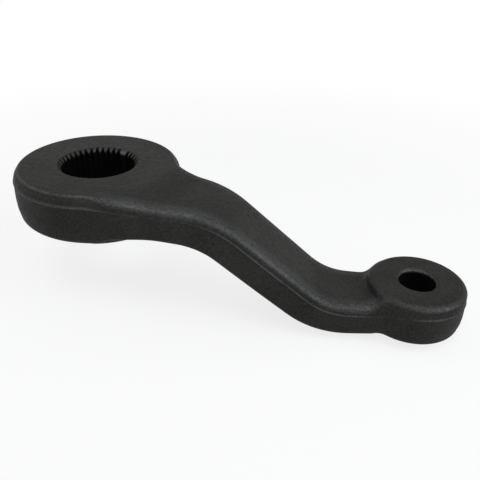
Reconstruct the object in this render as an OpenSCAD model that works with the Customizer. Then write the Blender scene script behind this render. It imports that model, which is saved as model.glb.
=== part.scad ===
// Pitman arm: a steering arm forged in one piece. A serrated eye clamps on
// the sector shaft, an S-shaped arm drops away from it and a plain eye takes
// the stud of the steering link.
// Frame: +Z up along the serrated bore, z = 0 on the big eye's upper face,
// +X along the arm towards the small eye. All sizes are in millimetres.

/* [Layout] */
// Distance along the arm between the two eye axes
reach = 141.8; // [120:0.1:160]
// Sideways distance of the arm's centre line from the big eye's axis
offset = 16.9; // [10:0.1:20]
// Drop from the big eye's upper face to the small eye's upper face
drop = 38.6; // [30:0.1:50]

/* [Big eye] */
// Radius of the upper face at its rim
eye_r = 34; // [30:0.25:38]
// Height between the two faces
eye_h = 22.25; // [18:0.25:26]
// Depth of the parting line below the upper face
eye_part = 4.8; // [4:0.1:8]
// Growth of the radius from the rim to the parting line
eye_swell = 1.6; // [0.4:0.1:2.4]

/* [Serrated bore] */
// Diameter across the tooth crests
crest_d = 31.6; // [28:0.1:33]
// Depth of one groove
groove_depth = 1.2; // [0.8:0.05:1.5]
// Number of divisions around the bore
divisions = 40; // [30:1:48]
// Width of a groove at its mouth as a share of one division
groove_share = 0.8; // [0.6:0.02:0.9]
// Width of a groove at its root as a share of its mouth
root_share = 0.14; // [0.05:0.01:0.4]
// Direction of the one division left uncut, which sets the arm's position
blank_angle = 64; // [0:1:359]
// Radial step from the groove roots to the edge of the lead-in chamfer
lead_in = 0.4; // [0.2:0.1:1]

/* [Small eye] */
// Radius of the upper face at its rim
tail_r = 20.75; // [18:0.25:23]
// Height between the two faces
tail_h = 20.75; // [18:0.25:24]
// Depth of the parting line below the upper face
tail_part = 6; // [5:0.1:9]
// Growth of the radius from the rim to the parting line
tail_swell = 0.4; // [0.2:0.1:1.2]
// Diameter of the stud hole
stud_d = 16; // [12:0.1:19]
// Width of the chamfer at each end of the stud hole
stud_chamfer = 1; // [0.4:0.05:1.5]

/* [Arm] */
// Width at the big eye's axis, measured at the parting line
root_w = 41.8; // [38:0.2:46]
// Width at the small eye's axis, measured at the parting line
tip_w = 28.4; // [24:0.2:32]
// Thickness at the big eye
root_t = 13.5; // [12:0.25:16]
// Thickness half way down the drop
mid_t = 16; // [14:0.25:18]
// Thickness at the small eye
tip_t = 13.75; // [12:0.25:14]
// Depth of the parting line below the arm's upper side at the big eye
root_part = 3.7; // [3.5:0.1:6]
// Depth of the parting line below the arm's upper side at the small eye
tip_part = 4.2; // [3.5:0.1:6]
// Height of the small eye's upper face above the arm
tail_step = 6.5; // [3:0.1:6.8]
// Height of the big eye's machined face above the forged skin beside it
face_proud = 0.3; // [0.1:0.05:0.8]

/* [Drop] */
// Distance from the big eye's axis to the start of the drop
bend_start = 8.8; // [4:0.1:14]
// Radius of the first gentle bend
bend_in_r = 74; // [50:1:100]
// Slope beside the big eye in degrees
neck_slope = 6.6; // [4:0.1:14]
// Radius of the upper bend
bend_upper_r = 44.5; // [35:0.5:55]
// Slope of the steep middle in degrees
mid_slope = 39.8; // [30:0.5:45]
// Radius of the lower bend
bend_lower_r = 25.8; // [20:0.2:34]
// Level land between the lower bend and the small eye
tail_land = 7.8; // [4:0.1:14]

/* [Forging] */
// Draft of all forged walls in degrees
draft = 2.5; // [2:0.5:7]
// Ridge left along the parting line by the trimmed flash
flash = 0.3; // [0.1:0.05:0.6]
// Half height of that ridge
flash_h = 0.4; // [0.3:0.05:0.6]
// Radius of the big eye's upper rim
eye_rim_r = 1.4; // [0.8:0.1:3]
// Radius of the small eye's upper rim
tail_rim_r = 2.4; // [0.8:0.1:3]
// Radius of the eyes' lower rims
foot_r = 3.5; // [1:0.1:5]
// Radius of the arm's upper shoulders
shoulder_r = 2.8; // [2:0.1:2.9]
// Radius of the arm's lower edges
belly_r = 3; // [1:0.1:4]
// Radius in plan where the arm's far side meets the big eye
neck_fillet = 5; // [4:0.5:10]
// Radius in plan where the arm's far side meets the small eye
tail_fillet = 12; // [9:0.5:14]
// Radius in plan where the arm's near side meets the small eye
near_fillet = 3.5; // [2:0.5:14]
// Height of the blend where the arm's upper side meets the small eye
step_rise = 3.6; // [2:0.1:5]
// Width of that blend
step_run = 4; // [2:0.1:6]
// Height of the blend where the arm's underside meets the big eye
under_rise = 4.5; // [1:0.1:5]
// Width of that blend
under_run = 12; // [5:0.5:14]
// Width of the soft run-out from the big eye's face to the arm
face_blend = 12; // [8:0.5:18]
// Angle by which the near side swells out beside the big eye
hip_angle = 7; // [4:0.5:9]
// Distance from the big eye's wall in to the line that this swelling follows
hip_inset = 1; // [0.5:0.1:2]
// Width over which that line runs softly into the arm's side
hip_soft = 1.2; // [0.6:0.1:3]

/* [Hidden] */
$fn = 96;
rad = PI / 180;
over = 1;
// Depth by which a blend runs into an eye, so that the two overlap
sink = 0.6;
// First section of the arm, inside the big eye, and depth of the last one in the small eye
arm_start = -2;
bury = 4;
// Least straight wall between a shoulder and the flash ridge
least_wall = 0.1;
// Steps in a rounded edge and across the arm
arc_steps = 6;
across = 14;
// Radii of the eyes at the parting line
eye_wall = eye_r + eye_swell;
tail_wall = tail_r + tail_swell;
crest_r = crest_d / 2;
root_r = crest_r + groove_depth;
mouth_r = root_r + lead_in;
// Corner points of the drop, each at the start of a bend or a straight
fall = drop + tail_step - face_proud;
x1 = bend_start + bend_in_r * sin(neck_slope);
z1 = -bend_in_r * (1 - cos(neck_slope));
x5 = reach - tail_wall - tail_land;
z4 = -fall + bend_lower_r * (1 - cos(mid_slope));
x4 = x5 - bend_lower_r * sin(mid_slope);
// Length of the sloping neck that makes the bends and straights meet
bend_x = bend_upper_r * (sin(mid_slope) - sin(neck_slope));
bend_z = bend_upper_r * (cos(neck_slope) - cos(mid_slope));
spare = x4 - x1 - bend_x - (z1 - bend_z - z4) / tan(mid_slope);
neck_len = spare / (cos(neck_slope) - sin(neck_slope) / tan(mid_slope));
x2 = x1 + neck_len * cos(neck_slope);
z2 = z1 - neck_len * sin(neck_slope);
x3 = x2 + bend_x;
z3 = z2 - bend_z;
// Centre of the plan fillet at the big eye and how far it runs before it is inside the eye
neck_d = half_w(eye_r) - offset + neck_fillet;
neck_c = sqrt(pow(eye_wall + neck_fillet - sink, 2) - pow(neck_d, 2));
neck_run = neck_c * neck_fillet / (eye_wall + neck_fillet);

function mix(a, b, t) = a + (b - a) * min(1, max(0, t));
function ease(t) = let (u = min(1, max(0, t))) u * u * (3 - 2 * u);
function hollow(r, u) = r - sqrt(max(0, r * r - pow(min(r, max(0, u)), 2)));
function swoop(h, w, u) = h * pow(mix(1, 0, u / w), 2);
function half_w(x) = mix(root_w, tip_w, x / reach) / 2;
function bulge(u) = 4 * u * (1 - u) * (mid_t - (root_t + tip_t) / 2);
function thick(x) = mix(root_t, tip_t, x / reach) + bulge(x / reach);
function part_at(x) = mix(eye_part, mix(root_part, tip_part, x / reach), (x - bend_start) / eye_r);
// Plan fillet of radius f at the small eye: its centre, its run into the eye and its flare
function tail_c(f) =
    reach - sqrt(pow(tail_wall + f - sink, 2) - pow(half_w(reach - tail_r) + f, 2));
function tail_run(f) = (reach - tail_c(f)) * f / (tail_wall + f) + sink;
function tail_flare(f, x) = hollow(f, min(tail_run(f), x - tail_c(f)));
// Plan outline of the arm at the parting line, near side and far side
function neck_flare(x) = hollow(neck_fillet, min(neck_run, neck_c - x));
function hip(x) = -(eye_wall - hip_inset + x * sin(hip_angle)) / cos(hip_angle);
function soft_max(a, b, k) =
    let (h = mix(0, 1, 0.5 + (a - b) / (2 * k)))
    mix(b, a, h) + k * h * (1 - h);
function near_y(x) =
    soft_max(-offset - half_w(x), hip(x), hip_soft) - tail_flare(near_fillet, x);
function far_y(x) = -offset + half_w(x) + tail_flare(tail_fillet, x) + neck_flare(x);
// Shift along X that bends the sections beside the small eye into arcs around it
function lag(x, y) =
    let (q = reach - x, v = min(abs(y + offset), 0.95 * q))
    ease(1.4 * (x - x5) / tail_land) * (q - sqrt(q * q - v * v));
function bent(x, y) = x + lag(x, y);
// Rise of the upper side towards the eyes and fall of the underside at the big eye
function rise(x, y, z) =
    -z * (1 - ease((norm([x, y]) - eye_r) / face_blend))
    + swoop(step_rise, step_run, norm([x - reach, y + offset]) - tail_wall);
function under(x, y) = swoop(under_rise, under_run, norm([x, y]) - eye_wall);

// Stations along the drop: [x, z, slope], from inside one eye to inside the other
stations = concat(
    [for (i = [0:3]) [mix(arm_start, bend_start, i / 4), 0, 0]],
    [for (i = [0:5]) let (a = neck_slope * i / 6)
        [bend_start + bend_in_r * sin(a), -bend_in_r * (1 - cos(a)), a]],
    [for (i = [0:17]) let (l = neck_len * i / 18)
        [x1 + l * cos(neck_slope), z1 - l * sin(neck_slope), neck_slope]],
    [for (i = [0:9]) let (a = mix(neck_slope, mid_slope, i / 10))
        [
            x2 + bend_upper_r * (sin(a) - sin(neck_slope)),
            z2 - bend_upper_r * (cos(neck_slope) - cos(a)),
            a
        ]],
    [for (i = [0:4]) [mix(x3, x4, i / 5), mix(z3, z4, i / 5), mid_slope]],
    [for (i = [0:9]) let (a = mid_slope * (1 - i / 10))
        [
            x4 + bend_lower_r * (sin(mid_slope) - sin(a)),
            z4 - bend_lower_r * (cos(a) - cos(mid_slope)),
            a
        ]],
    [for (i = [0:26]) [mix(x5, reach - tail_r + bury, i / 26), -fall, 0]]
);

// Section of the arm square to the drop, as [y, height] from the near edge over the top
function upper_chain(x, z) =
    let (
        n = near_y(bent(x, near_y(x))),
        f = far_y(bent(x, far_y(x))),
        c = part_at(x),
        s = min(shoulder_r, c - flash_h - least_wall),
        d = (c - flash_h - s) * tan(draft),
        inset = d + s
    )
    concat(
        [[n - flash, -c], [n, flash_h - c]],
        [for (i = [0:arc_steps]) let (q = 90 * i / arc_steps, y = n + d + s * (1 - cos(q)))
            [y, s * (sin(q) - 1) + sin(q) * rise(bent(x, y), y, z)]],
        [for (i = [1:across - 1]) let (y = mix(n + inset, f - inset, i / across))
            [y, rise(bent(x, y), y, z)]],
        [for (i = [arc_steps:-1:0]) let (q = 90 * i / arc_steps, y = f - d - s * (1 - cos(q)))
            [y, s * (sin(q) - 1) + sin(q) * rise(bent(x, y), y, z)]],
        [[f, flash_h - c], [f + flash, -c]]
    );
function lower_chain(x) =
    let (
        n = near_y(bent(x, near_y(x))),
        f = far_y(bent(x, far_y(x))),
        c = part_at(x),
        t = thick(x),
        d = (t - c - flash_h - belly_r) * tan(draft),
        inset = d + belly_r
    )
    concat(
        [[n, -c - flash_h]],
        [for (i = [0:arc_steps]) let (q = 90 * i / arc_steps, y = n + d + belly_r * (1 - cos(q)))
            [y, belly_r * (1 - sin(q)) - t - sin(q) * under(bent(x, y), y)]],
        [for (i = [1:across - 1]) let (y = mix(n + inset, f - inset, i / across))
            [y, -t - under(bent(x, y), y)]],
        [for (i = [arc_steps:-1:0]) let (q = 90 * i / arc_steps, y = f - d - belly_r * (1 - cos(q)))
            [y, belly_r * (1 - sin(q)) - t - sin(q) * under(bent(x, y), y)]],
        [[f, -c - flash_h]]
    );
function place(s, p) = [
    s[0] + lag(s[0], p[0]) + p[1] * sin(s[2]),
    p[0],
    s[1] - face_proud + p[1] * cos(s[2])
];
function arc(c, r, from, to) =
    [for (i = [0:arc_steps]) let (q = mix(from, to, i / arc_steps)) c + r * [cos(q), sin(q)]];
function reversed(v) = [for (i = [len(v) - 1:-1:0]) v[i]];

// The forged arm: sections joined along the drop and closed at both ends
module arm() {
    tops = [for (s = stations) [for (p = upper_chain(s[0], s[1])) place(s, p)]];
    bottoms = [for (s = stations) [for (p = lower_chain(s[0])) place(s, p)]];
    nt = len(tops[0]);
    nb = len(bottoms[0]);
    m = nt + nb;
    last = len(stations) - 1;
    points = [for (i = [0:last]) each concat(tops[i], reversed(bottoms[i]))];
    sides = [for (i = [0:last - 1], j = [0:m - 1]) let (k = (j + 1) % m)
        each [[i * m + j, i * m + k, (i + 1) * m + k], [i * m + j, (i + 1) * m + k, (i + 1) * m + j]]];
    strip = concat(
        [[0, 1, m - 1], [nt - 2, nt - 1, nt]],
        [for (k = [0:nb - 2]) each [[k + 1, k + 2, m - 2 - k], [k + 1, m - 2 - k, m - 1 - k]]]
    );
    start_cap = [for (t = strip) reversed(t)];
    end_cap = [for (t = strip) [for (v = t) last * m + v]];
    polyhedron(points = points, faces = concat(sides, start_cap, end_cap));
}

// Half section of a round eye with drafted walls, rounded rims and the flash ridge
module eye_profile(r, h, part, wall, rim) {
    dx = wall - r + rim;
    dz = flash_h - part + rim;
    lean = atan2(dz, dx) + acos(rim / norm([dx, dz]));
    foot_z = foot_r * (1 - sin(draft)) - h;
    foot_wall = wall - (-part - flash_h - foot_z) * tan(draft);
    foot_c = foot_wall - foot_r * cos(draft);
    polygon([
        [0, 0],
        each arc([r - rim, -rim], rim, 90, lean),
        [wall, flash_h - part],
        [wall + flash, -part],
        [wall, -part - flash_h],
        each arc([foot_c, foot_r - h], foot_r, -draft, -90),
        [0, -h]
    ]);
}

module eye(r, h, part, wall, rim) {
    rotate_extrude()
        eye_profile(r, h, part, wall, rim);
}

// Void of the serrated bore: one groove per division, with one division left uncut
module serrations() {
    pitch = 360 / divisions;
    mouth = pitch * groove_share / 2;
    root = mouth * root_share;
    tooth = [[-mouth, crest_r], [-root, root_r], [root, root_r], [mouth, crest_r]];
    translate([0, 0, -eye_h - over])
        linear_extrude(eye_h + 2 * over)
            rotate(blank_angle)
                union() {
                    circle(crest_r);
                    polygon(concat(
                        [[crest_r * cos(mouth), -crest_r * sin(mouth)]],
                        [for (i = [1:divisions - 1], e = tooth)
                            e[1] * [cos(i * pitch + e[0]), sin(i * pitch + e[0])]]
                    ));
                }
}

// Lead-in chamfer at both ends of a hole of radius r that opens to radius mouth
module lead_ins(r, mouth, h) {
    depth = mouth - r + over;
    translate([0, 0, -depth])
        cylinder(h = depth + over, r1 = r - over, r2 = mouth + over);
    translate([0, 0, -h - over])
        cylinder(h = depth + over, r1 = mouth + over, r2 = r - over);
}

module pitman_arm() {
    color([0.05, 0.05, 0.05])
        difference() {
            union() {
                arm();
                eye(eye_r, eye_h, eye_part, eye_wall, eye_rim_r);
                translate([reach, -offset, -drop])
                    eye(tail_r, tail_h, tail_part, tail_wall, tail_rim_r);
            }
            serrations();
            lead_ins(crest_r, mouth_r, eye_h);
            translate([reach, -offset, -drop]) {
                translate([0, 0, -tail_h - over])
                    cylinder(h = tail_h + 2 * over, d = stud_d);
                lead_ins(stud_d / 2, stud_d / 2 + stud_chamfer, tail_h);
            }
        }
}

pitman_arm();
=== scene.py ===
import math

import bpy
import numpy as np
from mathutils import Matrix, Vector
from mathutils.geometry import delaunay_2d_cdt


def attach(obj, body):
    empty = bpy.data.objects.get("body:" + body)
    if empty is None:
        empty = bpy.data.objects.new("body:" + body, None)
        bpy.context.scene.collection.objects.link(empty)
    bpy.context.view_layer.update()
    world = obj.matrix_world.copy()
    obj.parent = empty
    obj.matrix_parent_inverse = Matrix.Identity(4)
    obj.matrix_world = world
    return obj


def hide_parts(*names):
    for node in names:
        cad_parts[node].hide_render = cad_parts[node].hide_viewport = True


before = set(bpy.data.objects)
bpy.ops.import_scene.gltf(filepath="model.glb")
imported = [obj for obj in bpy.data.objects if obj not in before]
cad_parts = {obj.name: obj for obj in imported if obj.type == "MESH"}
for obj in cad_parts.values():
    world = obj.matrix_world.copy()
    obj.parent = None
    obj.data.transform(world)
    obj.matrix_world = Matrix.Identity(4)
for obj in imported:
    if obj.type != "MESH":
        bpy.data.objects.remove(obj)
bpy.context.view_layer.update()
scene = bpy.context.scene

# The pitman arm: one piece of steel, forged between two dies that meet along the ridge on its
# walls, then faced, bored and broached. Its serrated eye goes on a steering gear's shaft and
# is held by a nut, and a link's stud goes through its plain eye. Sizes are in millimetres.
MM = 0.001
# Small eye's axis from the big eye's: along the arm, towards its near side and down
REACH, OFFSET, DROP = 141.8, 16.9, 38.6
# Eyes: radius of the face, height, depth of the parting line and swell of the wall down to it
EYE_R, EYE_H, EYE_PART, EYE_SWELL = 34.0, 22.25, 4.8, 1.6
TAIL_R, TAIL_H, TAIL_PART, TAIL_SWELL = 20.75, 20.75, 6.0, 0.4
EYE_WALL, TAIL_WALL = EYE_R + EYE_SWELL, TAIL_R + TAIL_SWELL
EYE_AT, TAIL_AT = np.zeros(2), np.array([REACH, -OFFSET])
# Arm: widths, thicknesses and depths of the parting line, from its root to its tip
ROOT_W, TIP_W = 41.8, 28.4
ROOT_T, MID_T, TIP_T = 13.5, 16.0, 13.75
ROOT_PART, TIP_PART = 3.7, 4.2
# Heights of the small face over the arm's end and of the big face over the arm's start
TAIL_STEP, FACE_PROUD = 6.5, 0.3
# Forging: draft of the lower walls, how far the ridge stands out, and half its height
DRAFT, FLASH, FLASH_H = math.tan(math.radians(2.5)), 0.3, 0.4


def mix(a, b, t):
    """From a to b as t goes from 0 to 1."""
    return a + (b - a) * np.clip(t, 0, 1)


def ease(t):
    """A smooth step from 0 to 1."""
    t = np.clip(t, 0, 1)
    return t * t * (3 - 2 * t)


def soft_max(a, b, k):
    """The larger of two heights, with the crease between them filled over the width k."""
    h = np.clip(0.5 + (a - b) / (2 * k), 0, 1)
    return mix(b, a, h) + k * h * (1 - h)


def hollow(r, u):
    """Rise of a hollow fillet of radius r at the distance u from where it starts."""
    return r - np.sqrt(r * r - np.clip(u, 0, r) ** 2)


def half_width(x):
    """Half the arm's width at x."""
    return mix(ROOT_W, TIP_W, x / REACH) / 2


# The drop's line: level, a gentle bend, the neck, the upper bend, the steep middle, the lower
# bend and a level end. The parting line and the underside lie square to it.
BEND_START, BEND_IN_R, NECK_SLOPE = 8.8, 74.0, math.radians(6.6)
BEND_UPPER_R, MID_SLOPE, BEND_LOWER_R = 44.5, math.radians(39.8), 25.8
TAIL_LAND, LEAD, LINE_POINTS = 7.8, 60.0, 12001
bend_x = BEND_UPPER_R * (math.sin(MID_SLOPE) - math.sin(NECK_SLOPE))
bend_z = BEND_UPPER_R * (math.cos(NECK_SLOPE) - math.cos(MID_SLOPE))
neck_x = BEND_START + BEND_IN_R * math.sin(NECK_SLOPE)
neck_z = -BEND_IN_R * (1 - math.cos(NECK_SLOPE))
low_x = REACH - TAIL_WALL - TAIL_LAND - BEND_LOWER_R * math.sin(MID_SLOPE)
low_z = -(DROP + TAIL_STEP - FACE_PROUD) + BEND_LOWER_R * (1 - math.cos(MID_SLOPE))
spare = low_x - neck_x - bend_x - (neck_z - bend_z - low_z) / math.tan(MID_SLOPE)
neck_len = spare / (math.cos(NECK_SLOPE) - math.sin(NECK_SLOPE) / math.tan(MID_SLOPE))
mid_len = (neck_z - neck_len * math.sin(NECK_SLOPE) - bend_z - low_z) / math.sin(MID_SLOPE)
runs = [
    LEAD + BEND_START,
    BEND_IN_R * NECK_SLOPE,
    neck_len,
    BEND_UPPER_R * (MID_SLOPE - NECK_SLOPE),
    mid_len,
    BEND_LOWER_R * MID_SLOPE,
    2 * LEAD,
]
path = np.linspace(0, sum(runs), LINE_POINTS)
slopes = [0, 0, NECK_SLOPE, NECK_SLOPE, MID_SLOPE, MID_SLOPE, 0, 0]
slope = np.interp(path, np.concatenate([[0], np.cumsum(runs)]), slopes)
between = (slope[1:] + slope[:-1]) / 2
line_x = np.concatenate([[0], np.cumsum(np.cos(between) * path[1])]) - LEAD
line_z = -np.concatenate([[0], np.cumsum(np.sin(between) * path[1])])
share = np.clip(line_x / REACH, 0, 1)
belly = MID_T - (ROOT_T + TIP_T) / 2
thickness = mix(ROOT_T, TIP_T, share) + 4 * share * (1 - share) * belly
depth = mix(EYE_PART, mix(ROOT_PART, TIP_PART, share), (line_x - BEND_START) / EYE_R)


def arm_level(x, down):
    """Height at x of the line that lies the depth down under the arm's upper side."""
    return np.interp(x, line_x - down * np.sin(slope), line_z - down * np.cos(slope))


# Heights of the upper side and the underside. Each upper edge has the inset of its corner
# from the wall and the length of its rounding.
EYE_EDGE, TAIL_EDGE, ARM_EDGE = (1.8, 1.0), (0.2, 2.5), (0.2, 3.2)
FACE_BLEND, FACE_INSET = 12.0, 2.0
STEP_RISE, STEP_RUN, STEP_ROUND, STEP_SOFT = 3.0, 4.0, 3.5, 1.2
UNDER_RISE, UNDER_RUN, EYE_SOFT, TAIL_SOFT = 4.5, 12.0, 1.5, 0.3
FOOT_R, BELLY_R, ROLL = 3.5, 3.0, 0.94
FOOT_ROLL, BELLY_ROLL = ROLL * FOOT_R, ROLL * BELLY_R
PROFILE_POINTS, FAR_BELOW = 12, 60.0


def eye_profile(r, wall, part, corner, rounding):
    """Fall of an eye's wall below its face, at radius r, with its edge rounded."""
    edge = np.array([wall - corner, 0])
    start = edge - np.array([rounding, 0])
    end = edge + np.array([corner, -part]) / math.hypot(corner, part) * rounding
    turns = np.linspace(0, 1, PROFILE_POINTS)
    curve = [(1 - t) ** 2 * start + 2 * t * (1 - t) * edge + t * t * end for t in turns]
    curve = np.array(curve + [[wall, -part], [wall + 1, -part - FAR_BELOW]])
    return np.interp(r, curve[:, 0], curve[:, 1])


def top_height(x, y):
    """Upper side: flat big face running out into the arm, and the small eye standing on it."""
    from_eye = np.hypot(x, y)
    from_tail = np.hypot(x - REACH, y + OFFSET)
    clear = ease((from_eye - EYE_R + FACE_INSET) / (FACE_BLEND + FACE_INSET))
    arm = (arm_level(x, 0) - FACE_PROUD) * clear
    arm = arm + STEP_RISE * np.clip(1 - (from_tail - TAIL_WALL) / STEP_RUN, 0, 1) ** 2
    fall = eye_profile(from_tail, TAIL_WALL, TAIL_PART - FLASH_H, TAIL_EDGE[0], STEP_ROUND)
    return soft_max(arm, -DROP + fall, STEP_SOFT)


def bottom_height(x, y):
    """Underside: the arm's, lowered where it meets the big eye, and the two eyes' faces."""
    from_eye = np.hypot(x, y)
    from_tail = np.hypot(x - REACH, y + OFFSET)
    arm = arm_level(x, thickness) - FACE_PROUD
    arm = arm - UNDER_RISE * np.clip(1 - (from_eye - EYE_WALL) / UNDER_RUN, 0, 1) ** 2
    eye_low = EYE_H - EYE_PART - FLASH_H
    tail_low = TAIL_H - TAIL_PART - FLASH_H
    eye_rise = eye_profile(from_eye, EYE_WALL, eye_low, eye_low * DRAFT, FOOT_ROLL)
    tail_rise = eye_profile(from_tail, TAIL_WALL, tail_low, tail_low * DRAFT, FOOT_ROLL)
    arm_and_eye = soft_max(-arm, EYE_H + eye_rise, EYE_SOFT)
    return -soft_max(arm_and_eye, DROP + TAIL_H + tail_rise, TAIL_SOFT)


# Outline at the parting line, anticlockwise from where the near side leaves the big eye: near
# side with its straight hip, tip of the small eye, far side, big eye. Plan fillets join them.
NECK_FILLET, FAR_FILLET, NEAR_FILLET = 5.0, 12.0, 3.5
HIP, HIP_INSET, HIP_SOFT = math.radians(7), 1.0, 1.2
SIDE_POINTS, EYE_POINTS = 400, 800
SPACING, SOFTEN, SOFTEN_REACH = 0.5, 3.0, 12


def tail_fillet(radius):
    """Distance of a plan fillet's centre from the eye's line, its start and its run along X."""
    aside = half_width(REACH - TAIL_R) + radius
    start = REACH - math.sqrt((TAIL_WALL + radius) ** 2 - aside**2)
    return aside, start, (REACH - start) * radius / (TAIL_WALL + radius)


near_aside, near_start, near_run = tail_fillet(NEAR_FILLET)
far_aside, far_start, far_run = tail_fillet(FAR_FILLET)
neck_aside = half_width(EYE_R) - OFFSET + NECK_FILLET
neck_start = math.sqrt((EYE_WALL + NECK_FILLET) ** 2 - neck_aside**2)
neck_run = neck_start * NECK_FILLET / (EYE_WALL + NECK_FILLET)
leave = -math.pi / 2 - HIP + math.acos(1 - HIP_INSET / EYE_WALL)
near_x = np.linspace(EYE_WALL * math.cos(leave), near_start + near_run, SIDE_POINTS)
hip_y = -(EYE_WALL - HIP_INSET + near_x * math.sin(HIP)) / math.cos(HIP)
near_y = soft_max(-OFFSET - half_width(near_x), hip_y, HIP_SOFT)
near_y = near_y - hollow(NEAR_FILLET, near_x - near_start)
far_x = np.linspace(far_start + far_run, neck_start - neck_run, SIDE_POINTS)
far_y = -OFFSET + half_width(far_x) + hollow(FAR_FILLET, far_x - far_start)
far_y = far_y + hollow(NECK_FILLET, neck_start - far_x)
tip_from = math.atan2(-near_aside, near_start - REACH)
tip_to = math.atan2(far_aside, far_start - REACH)
tip_turn = np.linspace(tip_from, tip_to, SIDE_POINTS)
eye_turn = np.linspace(math.atan2(neck_aside, neck_start), 2 * math.pi + leave, EYE_POINTS)
outline = np.concatenate(
    [
        np.c_[near_x, near_y],
        TAIL_AT + TAIL_WALL * np.c_[np.cos(tip_turn), np.sin(tip_turn)],
        np.c_[far_x, far_y],
        EYE_WALL * np.c_[np.cos(eye_turn), np.sin(eye_turn)],
    ]
)
closed = np.vstack([outline, outline[:1]])
along = np.concatenate([[0], np.cumsum(np.hypot(*np.diff(closed, axis=0).T))])
columns = int(along[-1] / SPACING)
at = np.arange(columns) * along[-1] / columns
outline = np.c_[np.interp(at, along, closed[:, 0]), np.interp(at, along, closed[:, 1])]
neighbours = np.arange(-SOFTEN_REACH, SOFTEN_REACH + 1)
weights = np.exp(-0.5 * (neighbours / SOFTEN) ** 2)
weights /= weights.sum()


def soften(row):
    """A closed row of values or points, averaged with its neighbours along the outline."""
    return sum(w * np.roll(row, -i, axis=0) for w, i in zip(weights, neighbours))


outline = soften(outline)
heading = np.roll(outline, -1, axis=0) - np.roll(outline, 1, axis=0)
heading /= np.hypot(heading[:, :1], heading[:, 1:])
inward = np.c_[-heading[:, 1], heading[:, 0]]

# Skin: rows of points round the part, from the ridge over the drafted walls and the rounded
# edges to an inner border on each side. The eyes' lower walls are a little barrelled.
EYE_FADE, TAIL_FADE, FADE_CLEAR = 4.0, 3.0, 0.1
WALL_STEPS, EDGE_STEPS, EDGE_FULLNESS, EDGE_MOST = 4, 12, 0.55, 0.9
BARREL = 0.4
on_eye = 1 - ease((np.hypot(*outline.T) - EYE_WALL - FADE_CLEAR) / EYE_FADE)
on_tail = 1 - ease((np.hypot(*(outline - TAIL_AT).T) - TAIL_WALL - FADE_CLEAR) / TAIL_FADE)
on_arm = np.clip(1 - on_eye - on_tail, 0, 1)
aside = np.abs(outline[:, 1] + OFFSET) - half_width(outline[:, 0])
spread = np.where(outline[:, 0] > REACH, 1, aside / (TAIL_WALL - half_width(REACH)))
climb = soften(np.clip(spread, 0, 1) * (outline[:, 0] > REACH / 2))
ridge_z = mix(arm_level(outline[:, 0], depth) - FACE_PROUD, -EYE_PART, on_eye)
ridge_z = mix(ridge_z, -DROP - TAIL_PART, climb)


def skin_rows(height, side, corner, rounding):
    """Rows from the ridge's foot to the inner border, on the side above (1) or below (-1)."""
    base = ridge_z + side * FLASH_H
    inner = outline + inward * (corner + rounding)[:, None]
    face = soften(height(inner[:, 0], inner[:, 1]))
    rise = face - base
    wall = np.hypot(corner, rise)
    start = 1 - np.minimum(rounding, EDGE_MOST * wall) / wall
    rows = []
    for i in range(WALL_STEPS):
        t = start * i / WALL_STEPS
        inset = corner * t * t / start
        if side < 0:
            inset = inset - BARREL * (1 - on_arm) * np.sin(np.pi * t)
        rows.append((inset, base + rise * t, 0.0))
    for i in range(EDGE_STEPS + 1):
        t = i / EDGE_STEPS
        first, bend, last = (1 - t) ** 2, 2 * EDGE_FULLNESS * t * (1 - t), t * t
        total = first + bend + last
        inset = (first * corner * start + bend * corner + last * (corner + rounding)) / total
        z = (first * (base + rise * start) + bend * face + last * face) / total
        spot = outline + inward * inset[:, None]
        z = z + t**3 * (height(spot[:, 0], spot[:, 1]) - face)
        rows.append((inset, z, t))
    return rows


upper_corner = on_eye * EYE_EDGE[0] + on_tail * TAIL_EDGE[0] + on_arm * ARM_EDGE[0]
upper_round = on_eye * EYE_EDGE[1] + on_tail * TAIL_EDGE[1] + on_arm * ARM_EDGE[1]
upper = skin_rows(top_height, 1, upper_corner, upper_round)
lower_depth = on_eye * EYE_H + on_tail * TAIL_H + on_arm * ROOT_T - EYE_PART
lower_round = mix(BELLY_ROLL, FOOT_ROLL, 1 - on_arm)
lower = skin_rows(bottom_height, -1, lower_depth * DRAFT, lower_round)

# Rubbing and painted highlight: the ridge is faint for a stretch beside each eye, which is given
# by its middle, half length and fade along X. Upper edges are rubbed and carry a painted
# highlight, the small eye's strongest on its near right, and the arm's runs on to its face.
RIDGE_FAINT, RIDGE_LEFT = ((32.0, 14.0, 16.0), (129.0, 6.0, 8.0)), 0.15
RIDGE_WEAR_AND_HIGHLIGHT, RIDGE_FOOT_WEAR_AND_HIGHLIGHT = 0.9, 0.6
EYE_WEAR_AND_HIGHLIGHT, ARM_WEAR_AND_HIGHLIGHT, TAIL_WEAR_AND_HIGHLIGHT, TAIL_HIGHLIGHT = 0.5, 0.44, 0.15, 0.3
TAIL_HIGHLIGHT_DEG, TAIL_HIGHLIGHT_SPAN = -62.0, 50.0
ARM_HIGHLIGHT_WIDER, FACE_HIGHLIGHT_RUN = 0.3, 4.0
trace = np.ones(len(outline))
for middle, half, fade in RIDGE_FAINT:
    gone = 1 - ease((np.abs(outline[:, 0] - middle) - half) / fade)
    trace *= mix(1, RIDGE_LEFT, gone)
# Painted highlight on the small eye's rim, strongest on its near right.
tail_turn = np.degrees(np.arctan2(outline[:, 1] + OFFSET, outline[:, 0] - REACH))
tail_highlight = ease(1 - np.abs(tail_turn - TAIL_HIGHLIGHT_DEG) / TAIL_HIGHLIGHT_SPAN)
edge_wear_and_highlight = mix(mix(EYE_WEAR_AND_HIGHLIGHT, ARM_WEAR_AND_HIGHLIGHT, on_arm), TAIL_WEAR_AND_HIGHLIGHT + TAIL_HIGHLIGHT * tail_highlight, on_tail)
edge_span = np.pi * (1 - ARM_HIGHLIGHT_WIDER * on_arm)

points, wear_and_highlight, shade, faces = [], [], [], []


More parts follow.
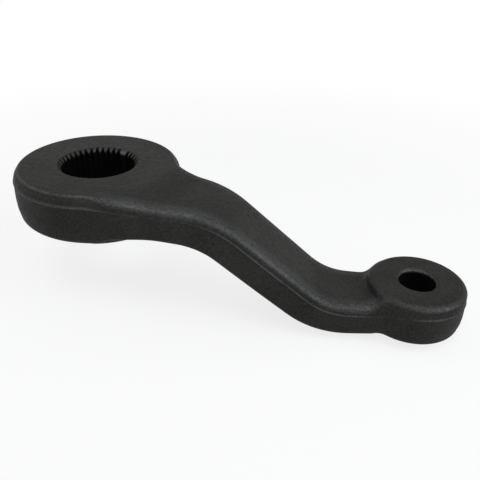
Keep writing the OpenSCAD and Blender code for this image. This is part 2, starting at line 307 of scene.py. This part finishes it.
def add_points(xyz, worn_and_highlight, dark=0.0):
    """Adds points in millimetres, with a degree of rubbing and painted highlight and of painted
    shade, and gives their numbers.
    """
    first = sum(len(p) for p in points)
    points.append(xyz)
    wear_and_highlight.append(np.broadcast_to(worn_and_highlight, len(xyz)))
    shade.append(np.broadcast_to(dark, len(xyz)).astype(float))
    return first + np.arange(len(xyz))


def add_band(a, b):
    """Quads between two closed rows of equally many points."""
    faces.extend(np.c_[a, np.roll(a, -1), np.roll(b, -1), b].tolist())


# The ridge's points are rubbed and carry a painted highlight, less where the ridge is faint.
ridge_xy = outline - inward * FLASH * trace[:, None]
ridge = add_points(np.c_[ridge_xy, ridge_z], RIDGE_WEAR_AND_HIGHLIGHT * trace)
upper_border = ridge
# Upper edges are rubbed and carry a painted highlight across their rounding, more at the ridge's
# foot.
for inset, z, turn in upper:
    worn_and_highlight = edge_wear_and_highlight * np.sin(edge_span * turn)
    if upper_border is ridge:
        worn_and_highlight = worn_and_highlight + RIDGE_FOOT_WEAR_AND_HIGHLIGHT * trace
    row = add_points(np.c_[outline + inward * inset[:, None], z], worn_and_highlight)
    add_band(upper_border, row)
    upper_border = row
lower_border = ridge
for inset, z, _ in lower:
    row = add_points(np.c_[outline + inward * inset[:, None], z], 0.0)
    add_band(row, lower_border)
    lower_border = row

# Holes: a bore with a groove broached in every division but one, and a plain hole for the
# stud. Their chamfers are rubbed and carry a painted highlight, the uncut division's most; the
# walls below them and the grooves' roots at the chamfers' feet get painted shade.
CREST_R, GROOVE, DIVISIONS, BLANK_DEG = 15.8, 1.2, 40, 64.0
GROOVE_SHARE, ROOT_SHARE, LEAD_IN = 0.8, 0.14, 0.4
STUD_R, STUD_CHAMFER, STUD_COLUMNS = 8.0, 1.0, 120
# Painted highlight with rubbing on the chamfers, and painted shade in the hole from this far
# below them.
CREST_BRIGHT, BLANK_BRIGHT, STUD_BRIGHT = 0.3, 1.5, 0.55
DARK_BELOW = 1.0


def bore_columns():
    """Turn, radius and painted highlight with rubbing of the chamfer for each column of points
    round the bore.
    """
    pitch = 2 * math.pi / DIVISIONS
    mouth = pitch * GROOVE_SHARE / 2
    root = mouth * ROOT_SHARE
    turns, radii, bright = [], [], []
    for i in range(DIVISIONS):
        groove = 0 if i == 0 else GROOVE
        for t, deep in ((-pitch / 2, 0), (-mouth, 0), (-root, 1), (root, 1), (mouth, 0)):
            turns.append(math.radians(BLANK_DEG) + i * pitch + t)
            radii.append(CREST_R + deep * groove)
            bright.append(BLANK_BRIGHT if i == 0 else CREST_BRIGHT * (1 - deep))
    return np.array(turns), np.array(radii), np.array(bright)


def add_hole(centre, turns, radii, mouth_r, top, bottom, bright):
    """Hole with a chamfer at both ends: gives its two mouths and the numbers of its faces."""
    way = np.c_[np.cos(turns), np.sin(turns)]
    mouth = np.full(len(turns), mouth_r)
    chamfer = mouth_r - radii
    first = len(faces)
    rows = []
    # The chamfers' feet at the grooves' roots and the walls below them are painted dark as shade.
    for r, z, worn_and_highlight, dark in (
        (mouth, np.full_like(mouth, top), 0.0, 0.0),
        (radii, top - chamfer, bright, bright == 0),
        (radii, top - chamfer - DARK_BELOW, 0.0, 1.0),
        (radii, bottom + chamfer + DARK_BELOW, 0.0, 1.0),
        (radii, bottom + chamfer, bright, bright == 0),
        (mouth, np.full_like(mouth, bottom), 0.0, 0.0),
    ):
        rows.append(add_points(np.c_[centre + way * r[:, None], z], worn_and_highlight, dark))
    for a, b in zip(rows, rows[1:]):
        add_band(a, b)
    return rows[0], rows[-1], range(first, len(faces))


bore_turns, bore_radii, bore_bright = bore_columns()
bore_mouth_r = CREST_R + GROOVE + LEAD_IN
bore_top, bore_low, bore_faces = add_hole(
    EYE_AT, bore_turns, bore_radii, bore_mouth_r, 0.0, -EYE_H, bore_bright
)
stud_turns = np.linspace(0, 2 * math.pi, STUD_COLUMNS, endpoint=False)
stud_radii = np.full(STUD_COLUMNS, STUD_R)
stud_bright = np.full(STUD_COLUMNS, STUD_BRIGHT)
stud_top, stud_low, stud_faces = add_hole(
    TAIL_AT, stud_turns, stud_radii, STUD_R + STUD_CHAMFER, -DROP, -DROP - TAIL_H, stud_bright
)

# Caps: the upper side and the underside within the borders, as triangles over a grid of
# points, with closer rings of points where a surface bends round an eye.
GRID, GRID_X, GRID_Y = 1.3, (-36, 164), (-42, 37)
RING_CLEAR, BORDER_CLEAR, HOLE_CLEAR, MERGE = 0.5, 0.7, 0.5, 1e-6
EYE_RING_STEP, TAIL_RING_STEP = 0.7, 0.6


def ring_radii(*stretches):
    """Radii of rings, in stretches that each have a start, an end and a step."""
    return np.concatenate([np.arange(*stretch) for stretch in stretches])


def circles(centre, radii, step):
    """Points on rings around a centre."""
    rings = []
    for r in radii:
        turn = np.linspace(0, 2 * math.pi, int(2 * math.pi * r / step), endpoint=False)
        rings.append(centre + r * np.c_[np.cos(turn), np.sin(turn)])
    return np.vstack(rings)


def inside(p, ring, margin):
    """True where a point lies within a closed ring and farther from it than the margin."""
    crossings = np.zeros(len(p), int)
    nearest = np.full(len(p), np.inf)
    for (ax, ay), (bx, by) in zip(ring, np.roll(ring, -1, axis=0)):
        spans = (ay > p[:, 1]) != (by > p[:, 1])
        if ay != by:
            crossings += spans & (p[:, 0] < ax + (p[:, 1] - ay) * (bx - ax) / (by - ay))
        nearest = np.minimum(nearest, (p[:, 0] - ax) ** 2 + (p[:, 1] - ay) ** 2)
    return (crossings % 2 == 1) & (nearest > margin**2)


def add_cap(height, side, border, holes, rings):
    """Height field within a border of the skin, with two holes left open."""
    everything = np.vstack(points)
    edge = everything[border][:, :2]
    grid_x, grid_y = np.meshgrid(np.arange(*GRID_X, GRID), np.arange(*GRID_Y, GRID))
    grid_x = grid_x + GRID / 2 * (np.arange(len(grid_x)) % 2)[:, None]
    grid = np.c_[grid_x.ravel(), grid_y.ravel()]
    clear = np.ones(len(grid), bool)
    for centre, radii, _ in rings:
        away = np.hypot(*(grid - centre).T)
        clear &= (away < min(radii) - RING_CLEAR) | (away > max(radii) + RING_CLEAR)
    field = np.vstack([grid[clear]] + [circles(*ring) for ring in rings])
    field = field[inside(field, edge, BORDER_CLEAR)]
    for hole, centre in holes:
        r = np.hypot(*(everything[hole[0]][:2] - centre))
        field = field[np.hypot(*(field - centre).T) > r + HOLE_CLEAR]
    gaps = [np.hypot(*(edge - p).T) for p in field]
    nearest = np.array([gap.argmin() for gap in gaps])
    away = np.array([gap.min() for gap in gaps])
    # The arm's rubbed edges and their painted highlight run on to the face beside them.
    border_wear_and_highlight = edge_wear_and_highlight * np.sin(edge_span) * (side > 0)
    worn_and_highlight = border_wear_and_highlight[nearest] * ease(1 - away / FACE_HIGHLIGHT_RUN)
    inner = add_points(np.c_[field, height(field[:, 0], field[:, 1])], worn_and_highlight)

    loops = [border] + [hole for hole, _ in holes]
    numbers = np.concatenate(loops + [inner])
    flat = np.vstack([everything[loop][:, :2] for loop in loops] + [field])
    fixed, base = [], 0
    for loop in loops:
        n = len(loop)
        fixed += [(base + i, base + (i + 1) % n) for i in range(n)]
        base += n
    out = delaunay_2d_cdt([Vector(p) for p in flat], fixed, [], 0, MERGE, True)
    source = np.array([ids[0] for ids in out[3]])
    tris = source[np.array(out[2])]
    middle = flat[tris].mean(axis=1)
    keep = inside(middle, edge, 0)
    for hole, _ in holes:
        keep &= ~inside(middle, everything[hole][:, :2], 0)
    tris = tris[keep]
    u, v = flat[tris[:, 1]] - flat[tris[:, 0]], flat[tris[:, 2]] - flat[tris[:, 0]]
    turned = (u[:, 0] * v[:, 1] - u[:, 1] * v[:, 0] > 0) != (side > 0)
    tris[turned] = tris[turned][:, ::-1]
    faces.extend(numbers[tris].tolist())


tail_rings = ring_radii((17, 19, 0.8), (19.1, 22, 0.22), (22, 26.5, 0.5))
eye_low_rings = ring_radii((30.5, 34.5, 0.5), (34.5, 36.4, 0.3), (36.5, 43, 0.7))
tail_low_rings = ring_radii((16.5, 22.5, 0.4))
add_cap(
    top_height,
    1,
    upper_border,
    [(bore_top, EYE_AT), (stud_top, TAIL_AT)],
    [(TAIL_AT, tail_rings, TAIL_RING_STEP)],
)
add_cap(
    bottom_height,
    -1,
    lower_border,
    [(bore_low, EYE_AT), (stud_low, TAIL_AT)],
    [(EYE_AT, eye_low_rings, EYE_RING_STEP), (TAIL_AT, tail_low_rings, TAIL_RING_STEP)],
)

# Mesh: smooth all over, apart from the edges of the grooves and the chamfers
SHARP = 0.4
mesh = bpy.data.meshes.new("pitman_arm_forging")
mesh.from_pydata((np.vstack(points) * MM).tolist(), [], faces)
mesh.validate()
mesh.shade_smooth()
for name, values in (("wear_and_highlight", wear_and_highlight), ("bore", shade)):
    attribute = mesh.attributes.new(name, "FLOAT", "POINT")
    attribute.data.foreach_set("value", np.concatenate(values).astype(np.float32))
arm = bpy.data.objects.new("pitman_arm_forging", mesh)
scene.collection.objects.link(arm)
in_holes = set(bore_faces) | set(stud_faces)
edge_faces = {}
for polygon in mesh.polygons:
    for key in polygon.edge_keys:
        edge_faces.setdefault(key, []).append(polygon.index)
flags = np.zeros(len(mesh.edges), bool)
for edge in mesh.edges:
    pair = edge_faces.get(tuple(edge.key), [])
    if len(pair) == 2 and in_holes.intersection(pair):
        one, other = (mesh.polygons[i].normal for i in pair)
        flags[edge.index] = one.angle(other, 0) > SHARP
sharp = mesh.attributes.new("sharp_edge", "BOOLEAN", "EDGE")
sharp.data.foreach_set("value", flags)


class Socket:
    """A shader value. Arithmetic on it adds math nodes, and node() adds any other."""

    def __init__(self, tree, out):
        self.tree = tree
        self.out = out

    def node(self, kind, inputs, output=0, **settings):
        made = self.tree.nodes.new(kind)
        for name, value in settings.items():
            setattr(made, name, value)
        for name, value in inputs.items():
            if isinstance(value, Socket):
                self.tree.links.new(value.out, made.inputs[name])
            else:
                made.inputs[name].default_value = value
        return Socket(self.tree, made.outputs[output])

    def math(self, operation, a, b):
        return self.node("ShaderNodeMath", {0: a, 1: b}, operation=operation)

    def __add__(self, other):
        return self.math("ADD", self, other)

    def __radd__(self, other):
        return self.math("ADD", other, self)

    def __sub__(self, other):
        return self.math("SUBTRACT", self, other)

    def __rsub__(self, other):
        return self.math("SUBTRACT", other, self)

    def __mul__(self, other):
        return self.math("MULTIPLY", self, other)

    def __rmul__(self, other):
        return self.math("MULTIPLY", other, self)


# Finish: satin black over the forged skin. A fine grain and pits break its gloss, broad
# mottling shifts its tone, and where it is rubbed a lighter bluish grey shows in specks, which
# also paint highlights and glints. The holes' walls are painted near black as shade.
HOLE_SHADE_BLACK = (0.004, 0.004, 0.004, 1)
COAT_GREY = (0.047, 0.0467, 0.0435, 1)
RUBBED_AND_HIGHLIGHT_GREY = (0.077, 0.0785, 0.08, 1)
GRAIN, PITS, MOTTLE = (1100.0, 3.0, 0.6), (420.0, 2.0, 0.5), (55.0, 4.0, 0.5)
NOISE_MEAN = 0.5
TONE, TONE_GRAIN, TONE_MOTTLE = 0.55, 0.9, 0.5
RUB_AND_HIGHLIGHT, RUB_AND_HIGHLIGHT_GRAIN, RUB_AND_HIGHLIGHT_MOTTLE = 0.9, 2.6, 1.5
ROUGH, ROUGH_PITS, ROUGH_HOLE = 0.44, 0.4, 0.4
RELIEF, RELIEF_DEPTH, RELIEF_HEIGHT = 0.8, 0.0003, 0.6
steel = bpy.data.materials.new("forged_steel")
steel.use_nodes = True
tree = steel.node_tree
surface = tree.nodes["Principled BSDF"]
start = Socket(tree, None)
place = start.node("ShaderNodeTexCoord", {}, "Object")


def noise(scale, detail, roughness):
    """Noise over the skin, about a mean of zero."""
    inputs = {"Vector": place, "Scale": scale, "Detail": detail, "Roughness": roughness}
    return start.node("ShaderNodeTexNoise", inputs, "Fac") - NOISE_MEAN


def mix_colour(factor, a, b):
    """Colour between a and b."""
    return start.node("ShaderNodeMix", {"Factor": factor, "A": a, "B": b}, 2, data_type="RGBA")


grain, pits, mottle = noise(*GRAIN), noise(*PITS), noise(*MOTTLE)
rub_and_highlight = start.node("ShaderNodeAttribute", {}, "Fac", attribute_name="wear_and_highlight")
hole_shade = start.node("ShaderNodeAttribute", {}, "Fac", attribute_name="bore")
# Painted shade: the tone falls to near black in the holes.
tone = (TONE + TONE_MOTTLE * mottle + TONE_GRAIN * grain) * (1 - hole_shade)
# Painted highlight with rubbing: grainy specks of the lighter bluish grey.
specks_and_glints = rub_and_highlight * (RUB_AND_HIGHLIGHT + RUB_AND_HIGHLIGHT_GRAIN * grain + RUB_AND_HIGHLIGHT_MOTTLE * mottle)
colour = mix_colour(specks_and_glints, mix_colour(tone, HOLE_SHADE_BLACK, COAT_GREY), RUBBED_AND_HIGHLIGHT_GREY)
rough = ROUGH + ROUGH_PITS * pits + ROUGH_HOLE * hole_shade
relief = start.node(
    "ShaderNodeBump",
    {"Strength": RELIEF, "Distance": RELIEF_DEPTH, "Height": RELIEF_HEIGHT * (grain + pits)},
)
tree.links.new(colour.out, surface.inputs["Base Color"])
tree.links.new(rough.out, surface.inputs["Roughness"])
tree.links.new(relief.out, surface.inputs["Normal"])
surface.inputs["Metallic"].default_value = 0.5
surface.inputs["Specular IOR Level"].default_value = 0.0
surface.inputs["Specular Tint"].default_value = (0.8, 0.8, 0.8, 1)
arm.data.materials.append(steel)
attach(arm, "root")
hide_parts("pitman_arm")

# The floor: a sheet of white paper just below the part, in metres from here on. It is seen as
# plain white with a faint shadow, which runs out round the part. From below it is clear, so
# that the underside can be looked at.
FLOOR_Z, FLOOR_HALF, PAPER_WHITE = -0.064, 2.0, (0.9, 0.9, 0.9, 1)
SHADOW_AT, SHADOW_SHARE, SHADOW_NEAR, SHADOW_FAR = (0.07, -0.01, FLOOR_Z), 0.2, 0.15, 0.45
floor_mesh = bpy.data.meshes.new("studio_floor")
signs = [(-1, -1), (1, -1), (1, 1), (-1, 1)]
corners = [(FLOOR_HALF * x, FLOOR_HALF * y, FLOOR_Z) for x, y in signs]
floor_mesh.from_pydata(corners, [], [(0, 1, 2, 3)])
floor = bpy.data.objects.new("studio_floor", floor_mesh)
scene.collection.objects.link(floor)
paper = bpy.data.materials.new("studio_paper")
paper.use_nodes = True
tree = paper.node_tree
tree.nodes.clear()
start = Socket(tree, None)


def shows_white(start):
    """One for the rays that see the white surround itself: direct, mirrored and refracted."""
    kinds = ("Is Camera Ray", "Is Glossy Ray", "Is Transmission Ray")
    camera, glossy, refracted = (start.node("ShaderNodeLightPath", {}, kind) for kind in kinds)
    return camera + glossy + refracted


place = start.node("ShaderNodeTexCoord", {}, "Object")
away = start.node("ShaderNodeVectorMath", {0: place, 1: SHADOW_AT}, "Value", operation="DISTANCE")
shadow_range = {
    "Value": away,
    "From Min": SHADOW_NEAR,
    "From Max": SHADOW_FAR,
    "To Min": SHADOW_SHARE,
    "To Max": 0.0,
}
shadow = start.node("ShaderNodeMapRange", shadow_range, interpolation_type="SMOOTHSTEP")
matt = start.node("ShaderNodeBsdfDiffuse", {"Color": PAPER_WHITE})
white = start.node("ShaderNodeEmission", {"Color": (1, 1, 1, 1), "Strength": 1.0})
plain = shows_white(start) * (1 - shadow)
above = start.node("ShaderNodeMixShader", {0: plain, 1: matt, 2: white})
below = start.node("ShaderNodeBsdfTransparent", {})
under = start.node("ShaderNodeNewGeometry", {}, "Backfacing")
sheet = start.node("ShaderNodeMixShader", {0: under, 1: above, 2: below})
tree.links.new(sheet.out, tree.nodes.new("ShaderNodeOutputMaterial").inputs["Surface"])
floor.data.materials.append(paper)

# The light: softboxes to the left, to the right and in front, a broad one overhead, and a
# white surround. The surround is at full strength for what is seen of it, directly or as a
# reflection, and dimmer as a light.
SURROUND, LAMP_COLOUR = 0.25, (0.94, 0.97, 1.0)
world = bpy.data.worlds.new("studio")
scene.world = world
world.use_nodes = True
tree = world.node_tree
backdrop = tree.nodes["Background"]
backdrop.inputs["Color"].default_value = (1, 1, 1, 1)
level = SURROUND + (1 - SURROUND) * shows_white(Socket(tree, None))
tree.links.new(level.out, backdrop.inputs["Strength"])
for name, spot, aim, size, power in (
    ("left_softbox", (-0.75, -0.05, 0.5), (0.03, -0.01, -0.02), 0.5, 1.3),
    ("right_softbox", (0.75, -0.3, 0.4), (0.1, -0.01, -0.03), 0.5, 3.8),
    ("front_softbox", (0.02, -0.42, 0.7), (0.05, -0.02, -0.01), 0.3, 2.4),
    ("overhead", (0.08, 0.15, 0.9), (0.08, -0.01, -0.02), 0.9, 1.2),
):
    lamp = bpy.data.lights.new(name, "AREA")
    lamp.energy = power
    lamp.size = size
    lamp.color = LAMP_COLOUR
    holder = bpy.data.objects.new(name, lamp)
    holder.location = spot
    holder.rotation_euler = (Vector(aim) - Vector(spot)).to_track_quat("-Z", "Y").to_euler()
    scene.collection.objects.link(holder)

# The camera: close to the part and above its near side, looking across the arm, at the place
# and angle that the photograph's outlines give.
CAMERA_DEG = (59.26593, -1.60783, 4.85971)
lens = bpy.data.cameras.new("camera")
lens.sensor_width = 36.0
lens.lens = 41.86
lens.clip_start = 0.01
camera = bpy.data.objects.new("camera", lens)
camera.location = (0.07838, -0.221296, 0.096943)
camera.rotation_euler = tuple(math.radians(a) for a in CAMERA_DEG)
scene.collection.objects.link(camera)
scene.camera = camera
scene.view_settings.view_transform = "Standard"
